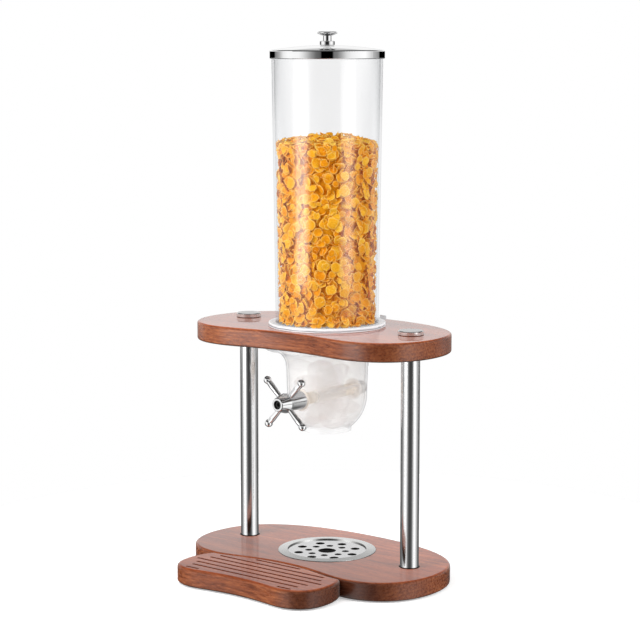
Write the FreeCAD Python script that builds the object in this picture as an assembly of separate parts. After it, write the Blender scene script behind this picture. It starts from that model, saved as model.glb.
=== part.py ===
import FreeCAD, Part
import math
import os

# Gravity bulk food bin: a clear hopper on a two-board wooden stand, emptied by a hand-turned paddle wheel.
# Millimetres, +Z up. Pieces are drawn about the hopper's upright axis with the table at z = 0, and
# save() then moves them so that the origin is at the centre of the footprint.
# Pieces on the drive shaft are drawn about local Z, which along_shaft() turns to face the front (-Y).

V = FreeCAD.Vector
UP = V(0, 0, 1)

# ---- general fits ----
slip_fit = 0.05           # radial play of a shaft in its bush, or of a screw in its thread
easy_fit = 0.4            # radial play of a loose part in its hole
seat_gap = 0.3            # space left between pieces that only come close

# ---- stand ----
board_thickness = 25.0
board_rounding = 3.0
post_clear_height = 285.0     # between the two boards
post_spacing = 278.6
post_radius = 12.5
post_wall = 1.5
post_seat_radius = 14.0       # the hole in the wood round each post's end
lower_seat_depth = 8.0
upper_seat_depth = 6.0
plug_length = 22.0
foot_height = 2.0
base_foot_radius = 9.0
base_foot_side_inset = 40.5   # the front feet from the base's sides
base_foot_front_inset = 43.0
base_foot_back_inset = 30.0
base_foot_lobe_inset = 5.0    # the back feet from the line of the base's lobes

# ---- bean outline of the two big boards ----
base_half_width = 191.5
base_widest_y = -17.0
base_back = 102.0
base_lobe_x = 109.0
base_lobe_front = 105.0
base_waist_front = 89.3
top_half_width = 188.8
top_widest_y = -14.8
top_back = 102.0
top_lobe_x = 105.0
top_lobe_front = 100.2
top_waist_front = 88.3
sweep_back = 121.0            # the six sweeps are the reach of each curve's handle
sweep_shoulder = 84.0
sweep_hip = 46.0
sweep_lobe_outer = 56.0
sweep_lobe_inner = 30.0
sweep_waist = 52.0

# ---- grooved shelf board in front of the base ----
shelf_gap = 1.2
shelf_half_width = 119.5
shelf_widest_y = -146.0
shelf_lobe_x = 74.0
shelf_lobe_front = 192.5
shelf_waist_front = 185.3
shelf_shift = -3.0            # the loose board stands a little to the left
shelf_rounding = 4.0
shelf_corner_radius = 4.0
shelf_sweep_hip = 20.0
shelf_sweep_side = 30.0
shelf_sweep_lobe_inner = 12.0
shelf_sweep_waist = 36.0
groove_width = 4.0
groove_depth = 3.0
groove_first_offset = 11.7    # first groove's centre from the base's hollow front
groove_pitch = 13.7
groove_end_insets = [83.0, 31.5, 25.5, 14.5, 25.5, 30.5]
short_groove_inset = 31.5
short_groove_length = 19.0
shelf_foot_radius = 7.0
shelf_foot_side_inset = 27.5  # the back feet from the shelf's sides
shelf_foot_widest_gap = 16.0  # and behind the line where it is widest
shelf_foot_front_inset = 18.5
shelf_foot_lobe_gap = 2.0     # the front feet outside the line of the shelf's lobes

# ---- screws and caps of the posts ----
post_screw_radius = 4.0
post_screw_head_radius = 6.5
post_screw_head_height = 5.0
post_screw_reach = 26.0       # how far the screw goes above the underside recess
screw_recess_radius = 9.0
screw_recess_depth = 8.0
hex_key_radius = 3.4
hex_key_depth = 3.0
washer_radius = 8.0
washer_thickness = 1.5
cap_radius = 16.9
cap_height = 5.8
cap_edge = 0.9
cap_stud_reach = 36.0

# ---- crumb cup and grille ----
cup_rim_radius = 66.45
cup_rim_rise = 1.8
cup_rim_edge = 1.0
cup_sheet = 1.0
cup_depth = 15.0
cup_wall_radius = 51.0
cup_ledge_drop = 2.4
grille_radius = 53.4
grille_thickness = 1.2
grille_centre_hole_radius = 12.2
grille_inner_ring_radius = 25.3
grille_inner_hole_radius = 4.9
grille_outer_ring_radius = 39.7
grille_outer_hole_radius = 6.2
grille_ring_count = 8
grille_turn = 7.3

# ---- bell under the top board ----
shaft_below_board = 69.0
bell_radius = 54.0
bell_wall = 2.7
bell_taper = 1.0              # how much wider the bell is where its flare starts
flare_radius = 27.0
flare_start = 37.0            # above the shaft
bell_flange_radius = 84.0
bell_throat_radius = 69.0
neck_radius = 32.8
neck_bottom = 49.0            # below the shaft
bead_height = 2.2
bead_width = 0.9
bead_rise = 40.0              # above the shaft
boss_radius = 15.0
boss_face = 55.5              # from the hopper axis to the boss's flat face
bell_screw_circle = 79.0
bell_screw_count = 4
bell_screw_radius = 1.7
bell_screw_length = 24.0
bell_screw_head_radius = 3.2
bell_screw_head_height = 2.0
bell_gasket_thickness = 0.9

# ---- paddle wheel, cheeks and bushes ----
wheel_radius = 47.5
wheel_half_width = 27.5
wheel_petals = 8
petal_thickness = 2.2
wheel_turn = 2.6
wheel_sleeve_radius = 12.0
core_radius = 9.0
shaft_radius = 5.0
cheek_gap = 1.5
cheek_thickness = 1.4
cheek_pad_radius = 34.5       # the thick bearing part is bounded by this upright cylinder
cheek_rise = 34.0
shed_rise = 23.5
shed_run = 32.0
shed_thickness = 1.4
bush_radius = 8.0
bush_flange_radius = 11.0
bush_flange_thickness = 1.5
bush_washer_radius = 14.5
bush_washer_thickness = 2.0

# ---- handle ----
escutcheon_back_radius = 13.0
escutcheon_front_radius = 9.8
escutcheon_length = 27.5
escutcheon_bore_gap = 0.6
handle_gap = 0.6
hub_back_radius = 13.2
hub_front_radius = 9.2
hub_length = 19.4
hub_land = 4.2
hub_edge = 0.8
hub_recess_radius = 6.0
hub_recess_depth = 7.5
hub_web = 1.2
arm_count = 4
arm_turn = -1.7
arm_plane_back = 3.4          # from the hub's back face to the arms' centre plane
arm_root = 7.6
arm_root_radius = 3.2
arm_waist_radius = 3.9
arm_waist = 35.5
ball_centre = 41.0
ball_radius = 5.35
handle_screw_head_radius = 5.2
handle_screw_head_height = 4.5
handle_screw_radius = 2.5
handle_screw_length = 14.0
rear_cap_radius = 9.5
rear_cap_length = 20.0
rear_cap_rounding = 5.0

# ---- hopper ----
hopper_base_radius = 79.0
hopper_base_height = 5.6
hopper_base_edge = 1.4
spigot_wall = 3.5
spigot_clearance = 0.8
gate_floor = 1.2
gate_thickness = 2.0
gate_radius = 70.0
gate_lip_radius = 66.0
gate_direction = 71.0
tab_half_width = 6.0
tab_reach = 92.0
tab_lip_height = 3.6
tab_lip_width = 2.5
tab_hole_radius = 1.75
tab_hole_place = 84.0
tube_bottom_radius = 69.2
tube_top_radius = 73.95
tube_wall = 3.0
tube_length = 361.0
fill_gap = 0.6
fill_edge_rise = 242.0
fill_crown = 12.0

# ---- lid and knob ----
lid_radius = 76.15
lid_skirt = 11.5
lid_sheet = 1.2
lid_corner = 1.8
lid_hem = 1.0                 # rounding of the skirt's turned-in lower edge
lid_dome = 6.3
lid_gasket_thickness = 1.2
knob_collar_radius = 9.8
knob_collar_height = 5.6
knob_stem_radius = 5.45
knob_stem_height = 6.6
knob_disc_radius = 13.1
knob_disc_height = 5.6
knob_rim = 2.4
knob_screw_radius = 2.0
knob_screw_head_radius = 3.8
knob_screw_head_height = 2.4
knob_screw_reach = 12.0
knob_washer_radius = 7.0
knob_washer_thickness = 1.0

# ---- levels and places worked out from the sizes above ----
base_top = foot_height + board_thickness
top_board_bottom = base_top + post_clear_height
top_board_top = top_board_bottom + board_thickness
shaft_z = top_board_bottom - shaft_below_board
bell_inner_radius = bell_radius - bell_wall
flare_z = shaft_z + flare_start
flange_bottom = flare_z + flare_radius
bell_upper_radius = bell_radius + bell_taper
flare_centre_radius = bell_upper_radius + flare_radius
spigot_radius = bell_throat_radius + spigot_wall
board_hole_radius = spigot_radius + spigot_clearance
cheek_face = wheel_half_width + cheek_gap
gate_bottom = top_board_top + gate_floor + seat_gap / 2
gate_top = gate_bottom + gate_thickness
pocket_top = gate_top + seat_gap / 2
tube_bottom = gate_top + seat_gap
tube_top = tube_bottom + tube_length
lid_seat = tube_top + lid_gasket_thickness
lid_top = lid_seat + lid_sheet
dome_top = lid_top + lid_dome
hub_back = boss_face + bush_washer_thickness + escutcheon_length + handle_gap
hub_front = hub_back + hub_length
arm_plane = hub_back + arm_plane_back
recess_floor = hub_front - hub_recess_depth
shaft_front = recess_floor - hub_web
rear_cap_start = boss_face + bush_washer_thickness + bush_flange_thickness + handle_gap
base_foot_front = (base_half_width - base_foot_side_inset, base_foot_front_inset - base_lobe_front)
base_foot_back = (base_lobe_x - base_foot_lobe_inset, base_back - base_foot_back_inset)
shelf_foot_back = (shelf_half_width - shelf_foot_side_inset, shelf_widest_y + shelf_foot_widest_gap)
shelf_foot_front = (shelf_lobe_x + shelf_foot_lobe_gap, shelf_foot_front_inset - shelf_lobe_front)
footprint_front = shelf_lobe_front
to_footprint_centre = V(0, (footprint_front - base_back) / 2, 0)


# ---- helpers ----
def save(node, shape):
    placed = shape.copy()
    placed.translate(to_footprint_centre)
    placed.exportStep("parts/" + node + ".step")


def disc(radius, z_low, z_high, x=0.0, y=0.0):
    return Part.makeCylinder(radius, z_high - z_low, V(x, y, z_low))


def ring(outer, inner, z_low, z_high, x=0.0, y=0.0):
    return disc(outer, z_low, z_high, x, y).cut(disc(inner, z_low - 1, z_high + 1, x, y))


def box(low, high):
    return Part.makeBox(high[0] - low[0], high[1] - low[1], high[2] - low[2], V(*low))


def turned(points):
    """A solid of revolution about Z. A point is (r, z), or (r, z, mid_r, mid_z) at the end of an arc."""
    edges = []
    last = V(points[0][0], 0, points[0][1])
    for point in points[1:] + points[:1]:
        here = V(point[0], 0, point[1])
        if len(point) == 4:
            edges.append(Part.Arc(last, V(point[2], 0, point[3]), here).toShape())
        else:
            edges.append(Part.makeLine(last, here))
        last = here
    return Part.Face(Part.Wire(edges)).revolve(V(0, 0, 0), UP, 360)


def along_shaft(shape):
    """Turns local +Z to the front and moves the local origin onto the shaft's line."""
    turned_shape = shape.copy()
    turned_shape.rotate(V(0, 0, 0), V(1, 0, 0), 90)
    turned_shape.translate(V(0, 0, shaft_z))
    return turned_shape


def mirrored_to_rear(shape):
    return shape.mirror(V(0, 0, 0), V(0, 1, 0))


def dome_end(radius, z_edge, rise):
    """The last point, on the axis, of a ball-shaped top that starts at (radius, z_edge)."""
    ball = (radius ** 2 + rise ** 2) / (2 * rise)
    half_way = z_edge + rise - ball + math.sqrt(ball ** 2 - radius ** 2 / 4)
    return (0, z_edge + rise, radius / 2, half_way)


def both_sides(*places):
    """Each place on the left and then on the right."""
    return [(side * x, y) for x, y in places for side in (-1, 1)]


def circle_point(radius, degrees):
    angle = math.radians(degrees)
    return (radius * math.cos(angle), radius * math.sin(angle))


def bezier(*poles):
    curve = Part.BezierCurve()
    curve.setPoles([V(x, y, 0) for x, y in poles])
    return curve.toShape()


def mirrored_outline(curves):
    """A closed wire from the right half's curves, drawn from the back centre round to the front centre."""
    right = [bezier(*poles) for poles in curves]
    left = [bezier(*[(-x, y) for x, y in reversed(poles)]) for poles in reversed(curves)]
    return Part.Wire(right + left)


def rounded_board(outline, rounding):
    """The outline raised to the boards' thickness from the underside, with its long edges rounded."""
    solid = Part.Face(outline).extrude(V(0, 0, board_thickness))
    flat_edges = [e for e in solid.Edges if e.BoundBox.ZLength < 0.01]
    return solid.makeFillet(rounding, flat_edges)


# ---- boards ----
def bean_curves(half_width, widest_y, back, lobe_x, lobe_front, waist_front):
    return [
        [(0, back), (sweep_back, back), (half_width, widest_y + sweep_shoulder), (half_width, widest_y)],
        [
            (half_width, widest_y),
            (half_width, widest_y - sweep_hip),
            (lobe_x + sweep_lobe_outer, -lobe_front),
            (lobe_x, -lobe_front),
        ],
        [
            (lobe_x, -lobe_front),
            (lobe_x - sweep_lobe_inner, -lobe_front),
            (sweep_waist, -waist_front),
            (0, -waist_front),
        ],
    ]


def base_curves():
    return bean_curves(
        base_half_width, base_widest_y, base_back, base_lobe_x, base_lobe_front, base_waist_front
    )


def post_sides():
    return [("left", -post_spacing / 2), ("right", post_spacing / 2)]


def make_base_board():
    board = rounded_board(mirrored_outline(base_curves()), board_rounding)
    board.translate(V(0, 0, foot_height))
    for _, x in post_sides():
        board = board.cut(disc(post_seat_radius, base_top - lower_seat_depth, base_top + 1, x))
        board = board.cut(disc(post_screw_radius + easy_fit, foot_height - 1, base_top, x))
        board = board.cut(disc(screw_recess_radius, foot_height - 1, foot_height + screw_recess_depth, x))
    cup_pocket_radius = grille_radius + easy_fit + cup_sheet + easy_fit
    cup_pocket_bottom = base_top - cup_depth - easy_fit
    return board.cut(disc(cup_pocket_radius, cup_pocket_bottom, base_top + 1))


def make_top_board():
    curves = bean_curves(
        top_half_width, top_widest_y, top_back, top_lobe_x, top_lobe_front, top_waist_front
    )
    board = rounded_board(mirrored_outline(curves), board_rounding)
    board.translate(V(0, 0, top_board_bottom))
    board = board.cut(disc(board_hole_radius, top_board_bottom - 1, top_board_top + 1))
    seat_top = top_board_bottom + upper_seat_depth
    for _, x in post_sides():
        board = board.cut(disc(post_seat_radius, top_board_bottom - 1, seat_top, x))
        board = board.cut(disc(post_screw_radius + easy_fit, top_board_bottom, top_board_top + 1, x))
    for x, y in bell_screw_places():
        screw_tip = flange_bottom + bell_screw_length
        board = board.cut(disc(bell_screw_radius + slip_fit, top_board_bottom - 1, screw_tip, x, y))
    return board


def shelf_outline():
    """The shelf's back edge follows the base's hollow front, one gap away."""
    base_front = [(x, y - shelf_gap) for x, y in base_curves()[2]]
    corner_x, corner_y = base_front[0]
    right = [
        bezier(*reversed(base_front)),
        bezier(
            (corner_x, corner_y),
            (shelf_half_width - shelf_sweep_hip / 4, corner_y - shelf_sweep_hip / 2),
            (shelf_half_width, shelf_widest_y + shelf_sweep_hip),
            (shelf_half_width, shelf_widest_y),
        ),
        bezier(
            (shelf_half_width, shelf_widest_y),
            (shelf_half_width, shelf_widest_y - shelf_sweep_side),
            (shelf_lobe_x + shelf_sweep_side, -shelf_lobe_front),
            (shelf_lobe_x, -shelf_lobe_front),
        ),
        bezier(
            (shelf_lobe_x, -shelf_lobe_front),
            (shelf_lobe_x - shelf_sweep_lobe_inner, -shelf_lobe_front),
            (shelf_sweep_waist, -shelf_waist_front),
            (0, -shelf_waist_front),
        ),
    ]
    left = [edge.mirror(V(0, 0, 0), V(1, 0, 0)) for edge in reversed(right)]
    return Part.Wire(Part.__sortEdges__(right + left))


def groove(x_low, x_high, y):
    """A round-ended, round-bottomed slot along X in the shelf's top face."""
    radius = groove_width / 2
    floor = base_top - groove_depth
    run = box((x_low, y - radius, floor), (x_high, y + radius, base_top + 1))
    return run.fuse([disc(radius, floor, base_top + 1, x, y) for x in (x_low, x_high)])


def make_shelf_board():
    outline = shelf_outline()
    solid = Part.Face(outline).extrude(V(0, 0, board_thickness))
    corner_x = base_lobe_x
    upright = [
        e for e in solid.Edges if e.BoundBox.ZLength > 1 and abs(abs(e.BoundBox.XMin) - corner_x) < 0.01
    ]
    solid = solid.makeFillet(shelf_corner_radius, upright)
    flat_edges = [e for e in solid.Edges if e.BoundBox.ZLength < 0.01]
    board = solid.makeFillet(shelf_rounding, flat_edges)
    board.translate(V(0, 0, foot_height))
    first_y = -base_waist_front - groove_first_offset
    slots = []
    for row, inset in enumerate(groove_end_insets):
        reach = shelf_half_width - inset
        slots.append(groove(-reach, reach, first_y - row * groove_pitch))
    last_y = first_y - len(groove_end_insets) * groove_pitch
    outer = shelf_half_width - short_groove_inset
    slots.append(groove(outer - short_groove_length, outer, last_y))
    slots.append(groove(-outer, short_groove_length - outer, last_y))
    board = board.cut(slots)
    board.translate(V(shelf_shift, 0, 0))
    return board


def rubber_foot(radius, x, y):
    pad = disc(radius, 0, foot_height, x, y)
    lower_rim = [e for e in pad.Edges if e.BoundBox.ZMax < 0.01]
    return pad.makeChamfer(foot_height / 4, lower_rim)


# ---- posts and their fixings ----
def make_post(x):
    low = base_top - lower_seat_depth
    high = top_board_bottom + upper_seat_depth
    return ring(post_radius, post_radius - post_wall, low, high, x)


def make_plug(x, z_low):
    outer = post_radius - post_wall - slip_fit
    return ring(outer, post_screw_radius + slip_fit, z_low, z_low + plug_length, x)


def hex_key_hole(x, y, z_low, z_high):
    corners = [circle_point(hex_key_radius, 60 * k) for k in range(7)]
    face = Part.Face(Part.makePolygon([V(x + cx, y + cy, z_low) for cx, cy in corners]))
    return face.extrude(V(0, 0, z_high - z_low))


def make_base_screw(x):
    washer_bottom = foot_height + screw_recess_depth - washer_thickness
    head_bottom = washer_bottom - post_screw_head_height
    shank = disc(post_screw_radius, washer_bottom - 0.5, washer_bottom + post_screw_reach, x)
    screw = disc(post_screw_head_radius, head_bottom, washer_bottom, x).fuse(shank)
    return screw.cut(hex_key_hole(x, 0, head_bottom - 1, head_bottom + hex_key_depth))


def make_base_washer(x):
    top = foot_height + screw_recess_depth
    return ring(washer_radius, post_screw_radius + easy_fit, top - washer_thickness, top, x)


def make_post_cap(x):
    top = top_board_top + cap_height
    head = disc(cap_radius, top_board_top, top, x)
    head = head.makeChamfer(cap_edge, [e for e in head.Edges if e.BoundBox.ZMin > top - 0.01])
    stud = disc(post_screw_radius, top_board_top - cap_stud_reach, top_board_top + 0.5, x)
    return head.fuse(stud)


# ---- crumb cup ----
def make_tray_cup():
    step = grille_radius + easy_fit
    ledge = base_top - cup_ledge_drop
    floor = base_top - cup_depth
    inner = cup_wall_radius - cup_sheet
    return turned([
        (0, floor),
        (cup_wall_radius, floor),
        (cup_wall_radius, ledge - cup_sheet),
        (step + cup_sheet, ledge - cup_sheet),
        (step + cup_sheet, base_top),
        (cup_rim_radius, base_top),
        (cup_rim_radius, base_top + cup_rim_edge),
        (step, base_top + cup_rim_rise),
        (step, ledge),
        (inner, ledge),
        (inner, floor + cup_sheet),
        (0, floor + cup_sheet),
    ])


def make_tray_grille():
    low = base_top - cup_ledge_drop
    high = low + grille_thickness
    half_step = 180.0 / grille_ring_count
    holes = [disc(grille_centre_hole_radius, low - 1, high + 1)]
    for k in range(grille_ring_count):
        turn = grille_turn + 2 * half_step * k
        x, y = circle_point(grille_outer_ring_radius, turn)
        holes.append(disc(grille_outer_hole_radius, low - 1, high + 1, x, y))
        x, y = circle_point(grille_inner_ring_radius, turn + half_step)
        holes.append(disc(grille_inner_hole_radius, low - 1, high + 1, x, y))
    return disc(grille_radius, low, high).cut(holes)


# ---- bell ----
def bell_screw_places():
    step = 360.0 / bell_screw_count
    return [circle_point(bell_screw_circle, step * (k + 0.5)) for k in range(bell_screw_count)]


def bell_shape(radius, upper_radius, flare, top_radius, z_top):
    """A ball-shaped bottom about the shaft, a nearly upright wall and a flare that ends at top_radius."""
    slant = math.sqrt(0.5)
    along = flare_centre_radius - top_radius
    arc_z = flare_z + math.sqrt(flare * flare - along * along)
    half_angle = math.asin((arc_z - flare_z) / flare) / 2
    mid_r = flare_centre_radius - flare * math.cos(half_angle)
    mid_z = flare_z + flare * math.sin(half_angle)
    return turned([
        (0, shaft_z - radius),
        (radius, shaft_z, radius * slant, shaft_z - radius * slant),
        (upper_radius, flare_z),
        (top_radius, arc_z, mid_r, mid_z),
        (top_radius, z_top),
        (0, z_top),
    ])


def bell_cavity(clearance):
    return bell_shape(
        bell_inner_radius - clearance,
        bell_upper_radius - bell_wall - clearance,
        flare_radius + bell_wall + clearance,
        bell_throat_radius - clearance,
        top_board_bottom + 1,
    )


def make_bell_housing():
    neck_low = shaft_z - neck_bottom
    flare_end_radius = flare_centre_radius - 1
    outside = bell_shape(bell_radius, bell_upper_radius, flare_radius, flare_end_radius, top_board_bottom)
    bead_low = shaft_z + bead_rise
    bead = turned([
        (bell_radius, bead_low - bead_width),
        (bell_upper_radius + bead_width, bead_low),
        (bell_upper_radius + bead_width, bead_low + bead_height),
        (bell_radius, bead_low + bead_height),
    ])
    bosses = along_shaft(disc(boss_radius, -boss_face, boss_face))
    body = outside.fuse([
        disc(neck_radius, neck_low, shaft_z),
        disc(bell_flange_radius, flange_bottom, top_board_bottom),
        bead,
        bosses,
    ])
    body = body.cut(bell_cavity(0))
    body = body.cut(disc(neck_radius - bell_wall, shaft_z - bell_radius - 1, shaft_z))
    body = body.cut(along_shaft(disc(bush_radius + slip_fit, -boss_face - 1, boss_face + 1)))
    spot_low = flange_bottom - bell_screw_head_height
    holes = []
    for x, y in bell_screw_places():
        holes.append(disc(bell_screw_radius + easy_fit, flange_bottom - 1, top_board_bottom + 1, x, y))
        holes.append(disc(bell_screw_head_radius + easy_fit, spot_low - 1, flange_bottom + 1, x, y))
    return body.cut(holes)


def make_bell_screws():
    seat = flange_bottom + 1
    screws = []
    for x, y in bell_screw_places():
        head = disc(bell_screw_head_radius, seat - bell_screw_head_height, seat, x, y)
        shank = disc(bell_screw_radius, seat - 0.5, flange_bottom + bell_screw_length, x, y)
        screws.append(head.fuse(shank))
    return Part.makeCompound(screws)


def make_bell_gasket():
    top = top_board_bottom + bell_gasket_thickness
    return ring(spigot_radius, bell_throat_radius, top_board_bottom, top)


# ---- paddle wheel and its bearings ----
def make_cheek_front():
    """A wall beside the wheel, with a thick pad round the shaft and a shed that throws flakes inwards."""
    low = shaft_z - bell_radius
    high = shaft_z + cheek_rise
    reach = bell_radius + bell_taper
    plate = box((-reach, -cheek_face - cheek_thickness, low), (reach, -cheek_face, high))
    pad = disc(cheek_pad_radius, low, high).common(box((-reach, -reach, low), (reach, -cheek_face, high)))
    shed_points = [
        (-cheek_face, high - shed_thickness),
        (-cheek_face, high),
        (-cheek_face - shed_run, high + shed_rise),
        (-cheek_face - shed_run, high + shed_rise - shed_thickness),
        (-cheek_face - cheek_thickness, high - 2 * shed_thickness),
    ]
    section = Part.makePolygon([V(-reach, y, z) for y, z in shed_points + shed_points[:1]])
    shed = Part.Face(section).extrude(V(2 * reach, 0, 0))
    cheek = plate.fuse([pad, shed]).common(bell_cavity(seat_gap))
    return cheek.cut(along_shaft(disc(bush_radius + slip_fit, 0, reach)))


def make_bush():
    """The front bush: a sleeve through cheek, bell and washer, with a flange outside."""
    flange_low = boss_face + bush_washer_thickness
    sleeve = disc(bush_radius, cheek_face + seat_gap, flange_low + bush_flange_thickness)
    flange = disc(bush_flange_radius, flange_low, flange_low + bush_flange_thickness)
    bore = disc(shaft_radius + slip_fit, 0, flange_low + 10)
    return along_shaft(sleeve.fuse(flange).cut(bore))


def make_bush_washer():
    return along_shaft(
        ring(bush_washer_radius, bush_radius + slip_fit, boss_face, boss_face + bush_washer_thickness)
    )


def make_drive_shaft():
    rear = rear_cap_start + rear_cap_length / 2
    shaft = disc(shaft_radius, -rear, shaft_front)
    thread = disc(handle_screw_radius + slip_fit, shaft_front - handle_screw_length, shaft_front + 1)
    return along_shaft(shaft.cut(thread))


def make_wheel_core():
    return along_shaft(ring(core_radius, shaft_radius, -wheel_half_width, wheel_half_width))


def make_paddle_wheel():
    half = petal_thickness / 2
    petal = box((-half, core_radius + 1, -wheel_half_width), (half, wheel_radius + 1, wheel_half_width))
    petals = []
    for k in range(wheel_petals):
        one = petal.copy()
        one.rotate(V(0, 0, 0), UP, -wheel_turn - (k + 0.5) * 360.0 / wheel_petals)
        petals.append(one)
    sleeve = disc(wheel_sleeve_radius, -wheel_half_width, wheel_half_width)
    wheel = sleeve.fuse(petals).common(Part.makeSphere(wheel_radius))
    return along_shaft(wheel.cut(disc(core_radius, -wheel_half_width - 1, wheel_half_width + 1)))


# ---- handle ----
def make_escutcheon():
    back = boss_face + bush_washer_thickness
    front = back + escutcheon_length
    cone = Part.makeCone(escutcheon_back_radius, escutcheon_front_radius, escutcheon_length, V(0, 0, back))
    cone = cone.cut(disc(shaft_radius + escutcheon_bore_gap, back - 1, front + 1))
    recess = disc(bush_flange_radius + easy_fit, back - 1, back + bush_flange_thickness + seat_gap)
    return along_shaft(cone.cut(recess))


def arm_profile():
    """One arm about local Z, from its root in the hub to the ball on its end."""
    neck_z = ball_centre - math.sqrt(ball_radius ** 2 - arm_waist_radius ** 2)
    return turned([
        (0, arm_root),
        (arm_root_radius, arm_root),
        (arm_waist_radius + 0.3, arm_waist - 5),
        (arm_waist_radius, neck_z),
        (0, ball_centre + ball_radius, ball_radius, ball_centre),
    ])


def arm_turns():
    return [arm_turn + (k + 0.5) * 360.0 / arm_count for k in range(arm_count)]


def placed_arm(shape, turn):
    """Lays a local-Z arm across the shaft and turns it about the shaft."""
    arm = shape.copy()
    arm.rotate(V(0, 0, 0), V(1, 0, 0), -90)
    arm.rotate(V(0, 0, 0), UP, -turn)
    arm.translate(V(0, 0, arm_plane))
    return along_shaft(arm)


def make_handle_hub():
    hub = turned([
        (0, hub_back),
        (hub_back_radius - hub_edge, hub_back),
        (hub_back_radius, hub_back + hub_edge),
        (hub_back_radius, hub_back + hub_land),
        (hub_front_radius, hub_front - hub_edge),
        (hub_front_radius - hub_edge, hub_front),
        (0, hub_front),
    ])
    hub = hub.cut(disc(shaft_radius, hub_back - 1, shaft_front))
    hub = hub.cut(disc(handle_screw_radius + slip_fit, shaft_front - 1, recess_floor + 1))
    hub = hub.cut(disc(hub_recess_radius, recess_floor, hub_front + 1))
    hub = along_shaft(hub)
    socket = disc(arm_root_radius, arm_root, hub_back_radius + 2)
    taper = Part.makeCone(
        arm_root_radius, arm_waist_radius + 0.3, arm_waist - 5 - arm_root, V(0, 0, arm_root)
    )
    for turn in arm_turns():
        hub = hub.cut(placed_arm(socket.fuse(taper), turn))
    return hub


def make_handle_screw():
    head_top = recess_floor + handle_screw_head_height
    head = disc(handle_screw_head_radius, recess_floor, head_top)
    shank_low = shaft_front - handle_screw_length + 1
    screw = head.fuse(disc(handle_screw_radius, shank_low, recess_floor + 0.5))
    return along_shaft(screw.cut(hex_key_hole(0, 0, head_top - hex_key_depth, head_top + 1)))


def make_rear_cap_nut():
    end = rear_cap_start + rear_cap_length
    slant = rear_cap_rounding * (1 - math.sqrt(0.5))
    cap = turned([
        (0, -rear_cap_start),
        (0, -end),
        (rear_cap_radius - rear_cap_rounding, -end),
        (rear_cap_radius, rear_cap_rounding - end, rear_cap_radius - slant, slant - end),
        (rear_cap_radius, -rear_cap_start),
    ])
    shaft_end = rear_cap_start + rear_cap_length / 2
    return along_shaft(cap.cut(disc(shaft_radius, -shaft_end, 0)))


# ---- hopper ----
def in_gate_direction(shape):
    turned_shape = shape.copy()
    turned_shape.rotate(V(0, 0, 0), UP, gate_direction)
    return turned_shape


def make_hopper_base():
    floor_top = top_board_top + gate_floor
    top = top_board_top + hopper_base_height
    spigot_low = top_board_bottom + bell_gasket_thickness
    pocket_radius = gate_radius + easy_fit
    edge = hopper_base_edge
    edge_mid = edge * (1 - math.sqrt(0.5))
    lip_chamfer = bell_throat_radius - gate_lip_radius
    body = turned([
        (bell_throat_radius, spigot_low),
        (spigot_radius, spigot_low),
        (spigot_radius, top_board_top),
        (hopper_base_radius - edge / 2, top_board_top),
        (hopper_base_radius, top_board_top + edge / 2),
        (hopper_base_radius, top - edge),
        (hopper_base_radius - edge, top, hopper_base_radius - edge_mid, top - edge_mid),
        (tube_bottom_radius + slip_fit, top),
        (tube_bottom_radius + slip_fit, pocket_top),
        (pocket_radius, pocket_top),
        (pocket_radius, floor_top),
        (gate_lip_radius, floor_top),
        (gate_lip_radius, top_board_top),
        (bell_throat_radius, top_board_top - lip_chamfer),
    ])
    slot = box((0, -pocket_radius, floor_top), (hopper_base_radius + 1, pocket_radius, pocket_top))
    return body.cut(in_gate_direction(slot))


def make_shutoff_gate():
    plate = disc(gate_radius, gate_bottom, gate_top)
    tail = box((0, -tab_half_width, gate_bottom), (tab_reach, tab_half_width, gate_top))
    lip = box(
        (tab_reach - tab_lip_width, -tab_half_width, gate_bottom),
        (tab_reach, tab_half_width, gate_top + tab_lip_height),
    )
    hole = disc(tab_hole_radius, gate_bottom - 1, gate_top + 1, tab_hole_place)
    return in_gate_direction(plate.fuse([tail, lip]).cut(hole))


def make_hopper_tube():
    return turned([
        (tube_bottom_radius - tube_wall, tube_bottom),
        (tube_bottom_radius, tube_bottom),
        (tube_top_radius, tube_top),
        (tube_top_radius - tube_wall, tube_top),
    ])


def make_flake_fill():
    """The loose flakes as one plain body, as wide as the tapered tube lets it be."""
    spread = (tube_top_radius - tube_bottom_radius) / tube_length
    bottom_radius = tube_bottom_radius - tube_wall - fill_gap
    edge_radius = bottom_radius + spread * fill_edge_rise
    bottom = tube_bottom + seat_gap
    edge_z = bottom + fill_edge_rise
    return turned([
        (0, bottom),
        (bottom_radius, bottom),
        (edge_radius, edge_z),
        dome_end(edge_radius, edge_z, fill_crown),
    ])


# ---- lid and knob ----
def make_lid_cover():
    skirt_low = lid_top - lid_skirt
    inner = lid_radius - lid_sheet
    shoulder = lid_radius - lid_corner
    seat_inner = tube_top_radius - tube_wall - lid_sheet
    corner_mid = lid_corner * (1 - math.sqrt(0.5))
    hem_mid = lid_hem * (1 - math.sqrt(0.5))
    return turned([
        (inner, skirt_low),
        (lid_radius - lid_hem, skirt_low),
        (lid_radius, skirt_low + lid_hem, lid_radius - hem_mid, skirt_low + hem_mid),
        (lid_radius, lid_top - lid_corner),
        (shoulder, lid_top, lid_radius - corner_mid, lid_top - corner_mid),
        (knob_collar_radius, dome_top, shoulder / 2, lid_top + 0.75 * lid_dome),
        (knob_screw_radius + easy_fit, dome_top),
        (knob_screw_radius + easy_fit, dome_top - lid_sheet),
        (knob_collar_radius, dome_top - lid_sheet),
        (seat_inner, lid_seat, seat_inner / 2, lid_seat + 0.75 * lid_dome),
        (inner, lid_seat),
    ])


def make_lid_gasket():
    return ring(tube_top_radius, tube_top_radius - tube_wall, tube_top, lid_seat)


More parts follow.
